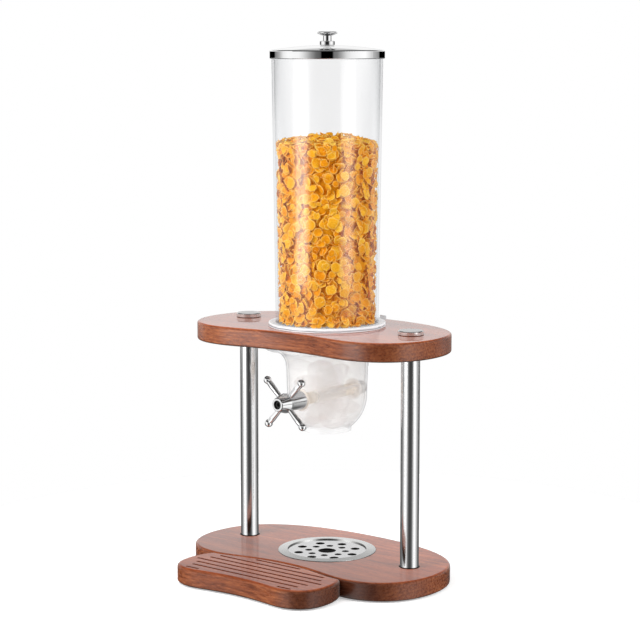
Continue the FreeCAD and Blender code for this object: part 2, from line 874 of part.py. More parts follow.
def make_knob_collar():
    collar = ring(
        knob_collar_radius, knob_screw_radius + easy_fit, dome_top, dome_top + knob_collar_height
    )
    rims = [e for e in collar.Edges if e.BoundBox.XLength > 2 * knob_collar_radius - 0.01]
    return collar.makeFillet(0.6, rims)


def make_lid_knob():
    low = dome_top + knob_collar_height
    neck = low + knob_stem_height
    top = neck + knob_disc_height
    rim_low = top - knob_rim
    knob = turned([
        (0, low),
        (knob_stem_radius, low),
        (knob_stem_radius, neck),
        (knob_disc_radius, rim_low, knob_disc_radius * 0.72, neck + (rim_low - neck) * 0.45),
        (knob_disc_radius - knob_rim / 2, top, knob_disc_radius, top - knob_rim / 3),
        (0, top),
    ])
    thread_top = dome_top - lid_sheet + knob_screw_reach
    return knob.cut(disc(knob_screw_radius + slip_fit, low - 1, thread_top))


def make_knob_washer():
    top = dome_top - lid_sheet
    return ring(knob_washer_radius, knob_screw_radius + easy_fit, top - knob_washer_thickness, top)


def make_knob_screw():
    seat = dome_top - lid_sheet - knob_washer_thickness
    head = disc(knob_screw_head_radius, seat - knob_screw_head_height, seat)
    return head.fuse(disc(knob_screw_radius, seat - 0.5, seat + knob_screw_reach - 0.5))


# ---- build ----
def save_stand():
    save("base_board", make_base_board())
    save("top_board", make_top_board())
    save("shelf_board", make_shelf_board())
    for number, (x, y) in enumerate(both_sides(base_foot_front, base_foot_back), 1):
        save("base_foot_" + str(number), rubber_foot(base_foot_radius, x, y))
    for number, (x, y) in enumerate(both_sides(shelf_foot_back, shelf_foot_front), 1):
        save("shelf_foot_" + str(number), rubber_foot(shelf_foot_radius, x + shelf_shift, y))
    for side, x in post_sides():
        save("post_" + side, make_post(x))
        save("post_plug_lower_" + side, make_plug(x, base_top - lower_seat_depth))
        save("post_plug_upper_" + side, make_plug(x, top_board_bottom + upper_seat_depth - plug_length))
        save("post_cap_" + side, make_post_cap(x))
    save("base_screws", Part.makeCompound([make_base_screw(x) for _, x in post_sides()]))
    save("base_washers", Part.makeCompound([make_base_washer(x) for _, x in post_sides()]))
    save("tray_cup", make_tray_cup())
    save("tray_grille", make_tray_grille())


def save_dispensing_unit():
    save("bell_housing", make_bell_housing())
    save("bell_screws", make_bell_screws())
    save("bell_gasket", make_bell_gasket())
    for front_name, rear_name, shape in [
        ("cheek_front", "cheek_rear", make_cheek_front()),
        ("bush_front", "bush_rear", make_bush()),
        ("washer_front", "washer_rear", make_bush_washer()),
    ]:
        save(front_name, shape)
        save(rear_name, mirrored_to_rear(shape))
    save("drive_shaft", make_drive_shaft())
    save("wheel_core", make_wheel_core())
    save("paddle_wheel", make_paddle_wheel())
    save("rear_cap_nut", make_rear_cap_nut())


def save_handle():
    save("escutcheon", make_escutcheon())
    save("handle_hub", make_handle_hub())
    save("handle_screw", make_handle_screw())
    for number, turn in enumerate(arm_turns(), 1):
        save("handle_arm_" + str(number), placed_arm(arm_profile(), turn))


def save_hopper():
    save("hopper_base", make_hopper_base())
    save("hopper_tube", make_hopper_tube())
    save("shutoff_gate", make_shutoff_gate())
    save("flake_fill", make_flake_fill())


def save_lid():
    save("lid_cover", make_lid_cover())
    save("lid_gasket", make_lid_gasket())
    save("knob_collar", make_knob_collar())
    save("lid_knob", make_lid_knob())
    save("knob_washer", make_knob_washer())
    save("knob_screw", make_knob_screw())


os.makedirs("parts", exist_ok=True)
save_stand()
save_dispensing_unit()
save_handle()
save_hopper()
save_lid()
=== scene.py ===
import math
import random

import bpy
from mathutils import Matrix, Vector, noise


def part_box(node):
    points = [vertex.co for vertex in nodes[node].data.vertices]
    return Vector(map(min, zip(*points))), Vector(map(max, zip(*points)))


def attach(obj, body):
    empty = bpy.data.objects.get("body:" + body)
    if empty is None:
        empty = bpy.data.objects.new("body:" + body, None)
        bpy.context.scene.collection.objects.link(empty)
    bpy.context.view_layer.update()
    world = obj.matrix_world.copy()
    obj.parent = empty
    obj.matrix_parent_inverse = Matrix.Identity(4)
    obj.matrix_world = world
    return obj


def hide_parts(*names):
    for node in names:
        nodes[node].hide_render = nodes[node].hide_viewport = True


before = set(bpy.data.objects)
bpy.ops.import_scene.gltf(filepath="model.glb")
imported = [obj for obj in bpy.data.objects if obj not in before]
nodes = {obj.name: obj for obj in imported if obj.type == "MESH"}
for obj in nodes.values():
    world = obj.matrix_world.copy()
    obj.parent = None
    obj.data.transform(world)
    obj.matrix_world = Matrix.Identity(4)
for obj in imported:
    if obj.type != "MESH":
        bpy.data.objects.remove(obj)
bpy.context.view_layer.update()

mm = 0.001
fullTurn = 2 * math.pi
mostNoise = (0.3, 0.7)       # where most of a noise's values lie
print("frame loaded:", len(nodes), "pieces")

tubeLow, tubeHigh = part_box("hopper_tube")
axisY = ((tubeLow + tubeHigh) / 2).y     # the hopper stands upright on x = 0, y = axisY


def topOf(name):
    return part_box(name)[1].z


def radiusOf(name):      # of a piece that is round about the hopper's axis
    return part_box(name)[1].x


def grey(level):
    return (level,) * 3


# shader tools
class Wire:              # a number on a socket, for maths written as an expression
    def __init__(self, tree, socket):
        self.tree = tree
        self.socket = socket

    def maths(self, operation, first, second=0.0):
        made = self.tree.nodes.new("ShaderNodeMath")
        made.operation = operation
        for socket, value in zip(made.inputs, (first, second)):
            feed(self.tree, socket, value)
        return Wire(self.tree, made.outputs[0])

    def __add__(self, other):
        return self.maths("ADD", self, other)

    def __sub__(self, other):
        return self.maths("SUBTRACT", self, other)

    def __rsub__(self, other):
        return self.maths("SUBTRACT", other, self)

    def __mul__(self, other):
        return self.maths("MULTIPLY", self, other)

    def __truediv__(self, other):
        return self.maths("DIVIDE", self, other)

    def __pow__(self, other):
        return self.maths("POWER", self, other)

    def __abs__(self):
        return self.maths("ABSOLUTE", self)


def feed(tree, socket, value):
    if isinstance(value, Wire):
        tree.links.new(value.socket, socket)
    elif isinstance(value, (tuple, list)) and socket.type == "RGBA":
        socket.default_value = (*value, 1)
    else:
        socket.default_value = value


def setStops(ramp, stops):
    while len(ramp.elements) < len(stops):
        ramp.elements.new(0.5)
    for element, (place, colour) in zip(ramp.elements, stops):
        element.position = place
        element.color = (*colour, 1)


class Paint:             # a node tree and the one way that nodes are added to it
    def __init__(self, tree):
        self.tree = tree
        self.shader = tree.nodes.get("Principled BSDF")

    def node(self, kind, settings=None, sockets=None, output=0):
        made = self.tree.nodes.new("ShaderNode" + kind)
        for name, value in (settings or {}).items():
            if name == "stops":
                setStops(made.color_ramp, value)
            else:
                setattr(made, name, value)
        for name, value in (sockets or {}).items():
            feed(self.tree, made.inputs[name], value)
        return Wire(self.tree, made.outputs[output])

    def set(self, **values):                         # sockets of the main shader
        for socket, value in values.items():
            feed(self.tree, self.shader.inputs[socket.replace("_", " ")], value)

    def main(self):
        return Wire(self.tree, self.shader.outputs[0])

    def mix(self, factor, first, second, blend="MIX"):         # colours
        settings = {"data_type": "RGBA", "blend_type": blend}
        return self.node("Mix", settings, {0: factor, 6: first, 7: second}, 2)

    def ramp(self, factor, stops):
        return self.node("ValToRGB", {"stops": stops}, {"Fac": factor})

    def span(self, value, low, high, start=0.0, end=1.0):      # low..high to start..end, held at both ends
        sockets = {"Value": value, "From Min": low, "From Max": high, "To Min": start, "To Max": end}
        return self.node("MapRange", {"clamp": True}, sockets)

    def place(self):                                 # where the point is on the piece, in metres
        return self.node("TexCoord", output="Object")

    def along(self, vector, letter):
        return self.node("SeparateXYZ", None, {"Vector": vector}, letter)

    def above(self, height):                         # how far the point is above a height
        return self.along(self.place(), "Z") - height

    def fromAxis(self):                              # and from the hopper's axis
        x = self.along(self.place(), "X")
        y = self.along(self.place(), "Y") - axisY
        return (x * x + y * y) ** 0.5

    def stretched(self, vector, factors, shift=(0, 0, 0)):
        settings = {"operation": "MULTIPLY_ADD"}
        return self.node("VectorMath", settings, {0: vector, 1: factors, 2: shift})

    def noise(self, vector, scale, detail=2.0, roughness=0.5):
        sockets = {"Vector": vector, "Scale": scale, "Detail": detail, "Roughness": roughness}
        return self.node("TexNoise", None, sockets)

    def bump(self, height, strength, distance):
        return self.node("Bump", None, {"Height": height, "Strength": strength, "Distance": distance})

    def facing(self):                                # 0 where the surface is met square on, 1 at its edge
        return self.node("LayerWeight", None, {"Blend": 0.5}, "Facing")

    def upright(self):                               # 1 on a level top, 0 on a side
        return self.along(self.node("NewGeometry", output="Normal"), "Z")

    def unmirrored(self):                            # 1 for what is seen directly or through clear parts
        camera = self.node("LightPath", output="Is Camera Ray")
        through = self.node("LightPath", output="Is Transmission Ray")
        return camera.maths("MAXIMUM", camera, through)

    def clear(self, colour):
        return self.node("BsdfTransparent", None, {"Color": colour})

    def blendShaders(self, factor, first, second):
        return self.node("MixShader", None, {0: factor, 1: first, 2: second})

    def glazed(self, body, sheen, shine, roughness):           # sheen: mirrored edge on, shine: square on
        gloss = self.node("BsdfGlossy", None, {"Color": grey(1), "Roughness": roughness})
        return self.blendShaders(self.facing() ** 5 * sheen + shine, body, gloss)

    def finish(self, shader):
        output = self.tree.nodes.get("Material Output") or self.tree.nodes["World Output"]
        feed(self.tree, output.inputs["Surface"], shader)


def newMaterial(name, **constants):
    material = bpy.data.materials.new(name)
    material.use_nodes = True
    paint = Paint(material.node_tree)
    paint.set(**constants)
    return material, paint


# camera
camera = {
    "place": (1.6173, -2.0279 + axisY, 0.7065),
    "tilt": 82.048,          # degrees up from straight down
    "heading": 38.786,
    "lens": 109.47,
    "sensor": 36.0,
    "reach": 100,            # metres
}
lensSide = math.degrees(math.atan2(camera["place"][1] - axisY, camera["place"][0]))


def makeCamera():
    data = bpy.data.cameras.new("camera")
    data.lens = camera["lens"]
    data.sensor_width = camera["sensor"]
    data.clip_end = camera["reach"]
    holder = bpy.data.objects.new("camera", data)
    holder.location = camera["place"]
    holder.rotation_euler = (math.radians(camera["tilt"]), 0, math.radians(camera["heading"]))
    bpy.context.scene.collection.objects.link(holder)
    bpy.context.scene.camera = holder


# studio: white all round, with soft boxes and dark cards that only reflections show
studio = {
    "peak": 5.0,             # what a brightness of 1 in a ring stands for
    "strips": [              # degrees round the table from the lens, positive to its right, and brightness
        (-180, 0.14), (-140, 0.14), (-129, 0.38), (-118, 0.16), (-102, 0.14), (-84, 0.12), (-75, 0.32),
        (-69, 0.98), (-52, 1.0), (-46, 0.64), (-40, 0.20), (-34, 0.0), (26, 0.0), (31, 0.26), (37, 0.40),
        (44, 0.60), (52, 0.60), (59, 0.38), (65, 0.10), (74, 0.08), (88, 0.01), (99, 0.05), (110, 0.10),
        (122, 0.34), (134, 0.12), (180, 0.14),
    ],
    "stripsLow": [           # the same, as the posts and the bell mirror it
        (-180, 0.04), (-150, 0.024), (-126, 0.018), (-102, 0.056), (-84, 0.136), (-67, 0.24), (-53, 0.24),
        (-39, 0.152), (-27, 0.044), (-14, 0.016), (0, 0.012), (14, 0.016), (27, 0.044), (39, 0.152),
        (53, 0.24), (67, 0.24), (84, 0.136), (102, 0.056), (126, 0.018), (150, 0.024), (180, 0.04),
    ],
    "stripsLevel": [         # and as the lid does
        (-180, 0.0), (-130, 0.0), (-128, 0.04), (-111, 0.09), (-98, 0.18), (-84, 0.21), (-59, 0.20),
        (-50, 0.165), (-41, 0.115), (-33, 0.07), (-22, 0.030), (-13, 0.020), (-12, 0.0), (11, 0.0),
        (12, 0.032), (20, 0.045), (28, 0.08), (39, 0.15), (50, 0.19), (73, 0.215), (81, 0.22),
        (95, 0.16), (108, 0.095), (126, 0.05), (128, 0.0), (180, 0.0),
    ],
    "fromLow": (-0.148, -0.139),      # heights, -1 straight down to 1 straight up, where stripsLow ends
    "toLevel": (-0.045, -0.02),       # and where stripsLevel begins
    "card": ((0.55, 0.42), (0.0005, 0.0015)),   # dark card: radians aside from the lens, and heights
    "cardShade": 0.004,
    "ahead": ((1.0, 0.6), (0.10, 0.15)),        # soft box over it, for level tops seen from behind
    "aheadShade": 0.13,
    "behind": ((1.7, 2.2), (0.008, 0.022)),     # backdrop beyond the table, which level tops mirror
    "backdrop": (1.06, 0.98),         # its brightness to the left and to the right
    "backdropTurn": (-0.12, 0.12),    # from the one to the other
    "backdropRise": [        # and how that changes with height
        (0.08, 0.78), (0.12, 1.0), (0.16, 0.93), (0.243, 0.95), (0.268, 0.62), (0.30, 0.55),
    ],
    "gap": (0.42, 0.50),     # the dark air between the soft boxes and the ceiling
    "gapShade": 0.03,
    "ceiling": (0.80, 0.86),
    "ceilingShade": 0.2,
    "again": (2.4, 2.6),     # ray depth of a mirror seen in another mirror
    "againShade": 0.8,       # and the brightest that it shows
    "ambient": 0.40,         # even light from all sides
}
lamps = {                    # degrees round from the lens, degrees up, metres away, side in metres, watts
    "keyLamp": (-58, 22, 1.15, 0.7, 12.8),
    "fillLamp": (62, 20, 1.6, 0.8, 16.8),
    "topLamp": (-30, 66, 1.6, 1.0, 7.0),
}
lampAim = 0.3                # the height that they point at


def makeStudio():
    world = bpy.data.worlds.new("studio")
    world.use_nodes = True
    bpy.context.scene.world = world
    paint = Paint(world.node_tree)
    for spare in [n for n in world.node_tree.nodes if n.type == "BACKGROUND"]:
        world.node_tree.nodes.remove(spare)
    direction = paint.node("TexCoord", output="Generated")
    x, y, z = (paint.along(direction, letter) for letter in "XYZ")
    lens = math.radians(lensSide)
    toLens = x * math.cos(lens) + y * math.sin(lens)
    toRight = y * math.cos(lens) - x * math.sin(lens)
    turn = toRight.maths("ARCTAN2", toRight, toLens)
    aside = abs(turn)

    def ring(name):
        stops = [((degrees + 180) / 360, grey(level)) for degrees, level in studio[name]]
        return paint.ramp(turn / fullTurn + 0.5, stops)

    def zone(name):
        sides, heights = studio[name]
        return paint.span(aside, *sides) * paint.span(z, *heights)

    def background(colour, strength):
        return paint.node("Background", None, {"Color": colour, "Strength": strength})

    seen = paint.mix(paint.span(z, *studio["fromLow"]), ring("stripsLow"), ring("strips"))
    seen = paint.mix(paint.span(z, *studio["toLevel"]), seen, ring("stripsLevel"))
    for name in ("card", "ahead"):
        seen = paint.mix(zone(name), seen, grey(studio[name + "Shade"]))
    left, right = [grey(level / studio["peak"]) for level in studio["backdrop"]]
    pale = paint.mix(paint.span(toRight, *studio["backdropTurn"]), left, right)
    rise = paint.ramp(z, [(height, grey(level)) for height, level in studio["backdropRise"]])
    seen = paint.mix(zone("behind"), seen, paint.mix(1.0, pale, rise, "MULTIPLY"))
    for name in ("gap", "ceiling"):
        seen = paint.mix(paint.span(z, *studio[name]), seen, grey(studio[name + "Shade"] / studio["peak"]))
    again = paint.span(paint.node("LightPath", output="Ray Depth"), *studio["again"])
    seen = paint.mix(again, seen, grey(studio["againShade"] / studio["peak"]), "DARKEN")
    mirrored = paint.node("LightPath", output="Is Glossy Ray")
    even = background(grey(1), studio["ambient"])
    lit = paint.blendShaders(mirrored, even, background(seen, studio["peak"]))
    paint.finish(paint.blendShaders(paint.unmirrored(), lit, background(grey(1), 1.0)))


def makeLamps():
    target = Vector((0, axisY, lampAim))
    for name, (turn, rise, away, side, power) in lamps.items():
        data = bpy.data.lights.new(name, "AREA")
        data.size = side
        data.energy = power
        heading = math.radians(lensSide + turn)
        lift = math.radians(rise)
        level = math.cos(lift)
        offset = Vector((math.cos(heading) * level, math.sin(heading) * level, math.sin(lift)))
        holder = bpy.data.objects.new(name, data)
        holder.location = target + offset * away
        holder.rotation_euler = offset.to_track_quat("Z", "Y").to_euler()
        holder.visible_glossy = False
        holder.visible_transmission = False
        bpy.context.scene.collection.objects.link(holder)


# table
table = {
    "radius": 0.62,
    "steps": 96,
    "glow": 0.40,            # the paper's own brightness, so that only near shadows show
    "shade": 0.90,           # how much of the light on it is added
    "white": 0.8,            # and what it sends on to other pieces
}


def makeTable():
    mesh = bpy.data.meshes.new("table")
    steps, radius = table["steps"], table["radius"]
    ring = [(math.cos(fullTurn * k / steps), math.sin(fullTurn * k / steps)) for k in range(steps)]
    mesh.from_pydata([(x * radius, axisY + y * radius, 0) for x, y in ring], [], [range(steps)])
    top = bpy.data.objects.new("table", mesh)
    bpy.context.scene.collection.objects.link(top)
    material, paint = newMaterial("table_white")
    plain = paint.node("BsdfDiffuse", None, {"Color": grey(table["white"])})
    dimmed = paint.node("BsdfDiffuse", None, {"Color": grey(table["shade"])})
    glow = paint.node("Emission", None, {"Color": grey(1), "Strength": table["glow"]})
    shown = paint.node("AddShader", None, {0: dimmed, 1: glow})
    paint.finish(paint.blendShaders(paint.unmirrored(), plain, shown))
    top.visible_glossy = False
    mesh.materials.append(material)


# lacquered boards
lacquered = {
    # the tops' tints are painted lighter than the sides': lit and shaded copies of one wood
    "sides": [(0.24, (0.105, 0.023, 0.007)), (0.50, (0.230, 0.060, 0.019)), (0.78, (0.42, 0.140, 0.048))],
    "tops": [(0.24, (0.22, 0.040, 0.012)), (0.50, (0.40, 0.085, 0.025)), (0.78, (0.55, 0.15, 0.050))],
    "pore": (0.085, 0.015, 0.005),
    # painted shade for the dark streak along a side
    "heart": (0.042, 0.012, 0.006),
    # painted shade on the undersides
    "under": (0.020, 0.006, 0.003),
    # painted shade in the grooves
    "groove": (0.15, 0.034, 0.012),
    "ringGap": 5 * mm,
    "pith": (0.03, -0.14),            # y and z of the log's heart under the boards
    "taper": 0.012,                   # how the rings close along the log
    "wander": 0.022,                  # how far they stray, in metres
    "noises": {                       # stretch along the log and across it, detail, roughness
        "drift": ((2.5, 16, 16), 3.0, 0.5),
        "fibre": ((14, 330, 330), 4.0, 0.62),
        "patch": ((6, 22, 22), 2.0, 0.5),
        "flecks": ((120, 900, 900), 2.0, 0.6),
        "pores": ((190, 1500, 1500), 1.0, 0.5),
    },
    "ringShare": 0.05,                # shares in the figure
    "shares": {"fibre": 0.85, "patch": 0.6, "flecks": 0.55},
    "darker": 0.52,
    "poreDepth": (0.60, 0.70, 0.0, 0.55),       # noise at a pore's edge and in it, darkness there
    "levelFrom": (0.55, 0.95),        # how upright the surface is where a top begins
    "underShadeFrom": (-0.25, -0.85),      # where the underside's painted shade does
    "steepFrom": (0.35, 0.1),         # and where a groove's wall does
    "streakHeart": 0.4,               # share of a streak's half width that is fully dark
    "grooveWall": (22.3 * mm, 23.2 * mm),       # heights in a board
    "grooveFloor": (24.5 * mm, 23.5 * mm),
    "lacquer": 0.06,                  # roughness of the coat on the polished tops
    "coatIor": 1.48,
    "thinCoat": 0.1,                  # the coat on the sides
    "rubbed": (0.24, 0.32),           # roughness of the sides
    "topRougher": 0.2,                # and how much more the wood has under the coat
    "relief": (0.4, 0.12, 0.3 * mm),  # the pores' share in the bump, its strength and depth
}
boards = {                   # shift: place in the log; streak: painted shade, a dark one in the side, its middle, half width and depth; tone: painted light and shade, brightness of the top at the front and at the back
    "top_board": {           # and depth; tone: brightness of the top at the front and at the back
        "shift": (0.31, 0.0, 0.0), "ior": 1.56, "coat": 0.85, "streak": (0.145, 0.055, 0.32),
        "tone": (1.15, 1.0),
    },
    "base_board": {
        "shift": (-0.42, 0.012, 0.05), "ior": 1.46, "coat": 0.90, "streak": (0.118, 0.080, 0.88),
        "tone": (0.60, 1.40),
    },
    "shelf_board": {
        "shift": (1.07, -0.02, 0.02), "ior": 1.40, "coat": 0.75, "streak": (0.115, 0.050, 0.72),
        "tone": (0.72, 0.80),
    },
}


def makeBoardFinish(board):
    values = boards[board]
    low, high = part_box(board)
    material, paint = newMaterial(
        board + "_finish", IOR=values["ior"], Coat_IOR=lacquered["coatIor"],
        Coat_Roughness=lacquered["lacquer"])
    place = paint.stretched(paint.place(), (1, 1, 1), values["shift"])
    x = paint.along(place, "X")
    y = paint.along(place, "Y") - lacquered["pith"][0]
    z = paint.along(place, "Z") - lacquered["pith"][1]
    noises = {
        name: paint.noise(paint.stretched(place, stretch), 1.0, detail, roughness)
        for name, (stretch, detail, roughness) in lacquered["noises"].items()
    }
    stray = (noises["drift"] - 0.5) * lacquered["wander"]
    fromHeart = (y * y + z * z + x * x * lacquered["taper"]) ** 0.5 + stray
    ringTurn = fromHeart * (fullTurn / lacquered["ringGap"])
    figure = ringTurn.maths("SINE", ringTurn) * lacquered["ringShare"]
    for name, share in lacquered["shares"].items():
        figure = figure + noises[name] * share
    figure = figure - lacquered["darker"]
    level = paint.span(paint.upright(), *lacquered["levelFrom"])
    # painted light: level tops take the lighter tints
    wood = paint.mix(level, paint.ramp(figure, lacquered["sides"]), paint.ramp(figure, lacquered["tops"]))
    # painted light and shade: each top is made brighter or darker from front to back
    tone = paint.span(paint.along(paint.place(), "Y"), low.y, high.y, *values["tone"])
    wood = paint.mix(level, wood, tone, "MULTIPLY")
    wood = paint.mix(paint.span(noises["pores"], *lacquered["poreDepth"]), wood, lacquered["pore"])
    # painted shade: the undersides are darkened
    wood = paint.mix(paint.span(paint.upright(), *lacquered["underShadeFrom"]), wood, lacquered["under"])
    # painted shade: a dark streak along the side
    centre, half, depth = values["streak"]
    away = abs(paint.along(paint.place(), "X") - centre)
    streak = paint.span(away, half, half * lacquered["streakHeart"], 0.0, depth) * (1 - level)
    wood = paint.mix(streak, wood, lacquered["heart"])
    # painted shade: the grooves' walls and floors are darkened
    rise = paint.above(low.z)
    steep = paint.span(paint.upright(), *lacquered["steepFrom"])
    wall = paint.span(rise, *lacquered["grooveWall"]) * steep
    floor = paint.span(rise, *lacquered["grooveFloor"]) * level
    wood = paint.mix(wall + floor, wood, lacquered["groove"])
    rubbed = paint.span(noises["fibre"], *mostNoise, *lacquered["rubbed"])
    poreShare, strength, distance = lacquered["relief"]
    paint.set(
        Base_Color=wood, Normal=paint.bump(noises["fibre"] + noises["pores"] * poreShare, strength, distance),
        Coat_Weight=level * values["coat"] * (1 - floor) + lacquered["thinCoat"],
        Roughness=rubbed + level * lacquered["topRougher"])
    return material


# metals
metals = {                   # grain: stretch and detail; tint: where it is dark and where light;
    "mirror_chrome": {       # roughness: the grain's range, and what that stands for
        "grain": ((90, 90, 90), 3.0), "tint": ((0.90, 0.90, 0.90), (0.94, 0.94, 0.945)),
        "roughness": (0.35, 0.75, 0.008, 0.022),
    },
    "satin_chrome": {
        "grain": ((90, 90, 90), 3.0), "tint": ((0.90, 0.90, 0.90), (0.94, 0.94, 0.945)),
        "roughness": (0.35, 0.75, 0.14, 0.20),
    },
    "post_steel": {          # drawn along its length; and painted shade: a dark line where it meets its board, from none to full
        "grain": ((500, 500, 3), 1.0), "tint": ((0.83, 0.83, 0.835), (0.88, 0.88, 0.88)),
        "roughness": (*mostNoise, 0.11, 0.14),
        "footShade": ("base_board", 1.2 * mm, 0.7 * mm, (0.02, 0.012, 0.01)),
    },
    "cap_steel": {           # brushed, and rougher on its level top
        "grain": ((240, 2600, 700), 2.0), "tint": ((0.88, 0.87, 0.86), (0.95, 0.945, 0.94)),
        "roughness": (*mostNoise, 0.15, 0.20),
        "footShade": ("top_board", 0.9 * mm, 0.5 * mm, (0.05, 0.02, 0.01)),
        "levelFrom": (0.6, 0.95), "topRougher": 0.14, "relief": (0.04, 0.05 * mm),
    },
    "zinc_steel": {
        "grain": ((700, 700, 700), 3.0), "tint": ((0.50, 0.50, 0.49), (0.66, 0.66, 0.64)),
        "roughness": (*mostNoise, 0.28, 0.42),
    },
}


def makeMetal(kind):
    values = metals[kind]
    material, paint = newMaterial(kind + "_finish", Metallic=1.0)
    stretch, detail = values["grain"]
    grain = paint.noise(paint.stretched(paint.place(), stretch), 1.0, detail)
    tint = paint.mix(grain, *values["tint"])
    roughness = paint.span(grain, *values["roughness"])
    if "footShade" in values:
        # painted shade at the foot, where it meets its board
        board, none, full, dark = values["footShade"]
        tint = paint.mix(paint.span(paint.above(topOf(board)), none, full), tint, dark)
    if "topRougher" in values:
        level = paint.span(paint.upright(), *values["levelFrom"])
        roughness = roughness + level * values["topRougher"]
    if "relief" in values:
        paint.set(Normal=paint.bump(grain, *values["relief"]))
    paint.set(Base_Color=tint, Roughness=roughness)
    return material


tray = {
    "ripples": 2600,         # turning marks, to the metre
    "rim": ((0.70, 0.70, 0.69), (0.80, 0.80, 0.79)),
    "disc": ((0.86, 0.86, 0.865), (0.93, 0.93, 0.935)),
    "dark": (0.012, 0.011, 0.010),    # painted shade on what lies under the disc and the board painted shade in the well: out from the axis, and down from the disc's top painted shade on the cup's wall: out from the axis, up from the board, and down
    "holes": (60 * mm, 59 * mm, 0.05 * mm, 0.2 * mm),        # out from the axis, and down from the disc's top
    "wall": (65 * mm, 65.5 * mm, 0.5 * mm, 0.1 * mm),        # out from the axis, up from the board, and down
    "blend": 0.1 * mm,       # from the rim's tint to the disc's
    "roughness": (0.14, 0.20),
    "clouds": (60, 0.05),    # noise to the metre, and what it adds
    "darkRougher": 0.5,
    "relief": (0.05, 0.05 * mm),
}


def makeTraySteel():
    material, paint = newMaterial("tray_steel_finish", Specular_IOR_Level=0.1)
    out = paint.fromAxis()
    height = paint.above(0)
    circles = paint.node("CombineXYZ", None, {"X": out * tray["ripples"], "Y": 0.0, "Z": 0.0})
    spun = paint.noise(circles, 1.0, 2.0)
    scale, share = tray["clouds"]
    cloudy = paint.noise(paint.place(), scale, 2.0) * share
    edge = radiusOf("tray_grille")
    onDisc = paint.span(out, edge + tray["blend"], edge)
    tint = paint.mix(onDisc, paint.mix(spun, *tray["rim"]), paint.mix(spun, *tray["disc"]))
    # painted shade in the well under the disc and on the cup's wall under the board
    outer, inner, first, last = tray["holes"]
    top = topOf("tray_grille")
    shade = paint.span(height, top - first, top - last) * paint.span(out, outer, inner)
    inner, outer, over, fade = tray["wall"]
    top = topOf("base_board") + over
    shade = shade + paint.span(height, top, top - fade) * paint.span(out, inner, outer)
    paint.set(
        Base_Color=paint.mix(shade, tint, tray["dark"]), Metallic=1 - shade,
        Roughness=paint.span(spun, *mostNoise, *tray["roughness"]) + cloudy + shade * tray["darkRougher"],
        Normal=paint.bump(spun, *tray["relief"]))
    return material


# clear and milky plastics
clearParts = {               # haze: share of milk in it; sheen, shine: what it mirrors edge on, square on
    "tube": {
        "clear": (0.997, 0.997, 0.998), "edge": (0.93, 0.933, 0.938), "edgeFrom": 0.15, "haze": 0.0,
        "sheen": 0.25, "shine": 0.034,
    },
    "base": {
        "clear": (0.99, 0.99, 0.99), "edge": (0.66, 0.67, 0.69), "edgeFrom": 0.75, "haze": 0.70,
        "sheen": 0.7, "shine": 0.05,
    },
    "gate": {
        "clear": (0.96, 0.96, 0.965), "edge": (0.52, 0.53, 0.56), "edgeFrom": 0.60, "haze": 0.04,
        "sheen": 0.3, "shine": 0.04,
    },
}
clearPlastic = {
    "gloss": 0.02,
    "milk": (0.9, 0.9, 0.9),
    "milkRoughness": 0.4,
    "paintedGlow": 0.30,         # painted glow that brightens the milk, though the plastic is no lamp
    "veil": (260, 0.2, 0.8, 0.85),              # noise to the metre, its range, share of haze at its thinnest
    "bands": [               # painted light and shade: bands up the base ring's side, as its thick rim bends the light
        (0.0, (0.30, 0.24, 0.21)), (0.07, (0.86, 0.86, 0.87)), (0.22, (0.97, 0.98, 1.0)),
        (0.34, (0.34, 0.36, 0.39)), (0.50, (0.24, 0.26, 0.29)), (0.62, (0.86, 0.875, 0.90)),
        (1.0, (0.94, 0.95, 0.97)),
    ],
    "bandWave": ((30, 30, 0), 0.3),             # their noise, and how far they stray as a share of the height
    "rim": (2.2 * mm, 1.2 * mm),                # in from the ring's side, where the bands begin
    "flange": (0.60, 0.61, 0.63),               # and what the ring shows inside of them
    "bore": (8 * mm, 4 * mm, 0.35, 1.0),        # in from its side, where its haze thins towards the tube
    "knob": (0.26, 0.27, 0.29),                 # the gate's little knob outside the ring
    "knobFrom": 0.5 * mm,
    "knobHaze": 0.6,
}


def paintBaseRing(paint, haze):
    low, high = topOf("top_board"), topOf("hopper_base")
    edge = radiusOf("hopper_base")
    out = paint.fromAxis()
    stretch, share = clearPlastic["bandWave"]
    wave = paint.noise(paint.stretched(paint.place(), stretch), 1.0, 1.0)
    bands = paint.above(low) / (high - low) + (wave - 0.5) * share
    first, last = clearPlastic["rim"]
    side = paint.span(out, edge - first, edge - last)
    # painted light and shade: the bands, which also glow
    tone = paint.mix(side, clearPlastic["flange"], paint.ramp(bands, clearPlastic["bands"]))
    paint.set(Base_Color=tone, Emission_Color=tone)
    first, last, thin, full = clearPlastic["bore"]
    return haze * paint.span(out, edge - first, edge - last, thin, full)


def paintGateKnob(paint, haze):
    edge = radiusOf("hopper_base")
    knob = paint.span(paint.fromAxis(), edge, edge + clearPlastic["knobFrom"])
    paint.set(Base_Color=paint.mix(knob, clearPlastic["milk"], clearPlastic["knob"]))
    return haze + knob * clearPlastic["knobHaze"]


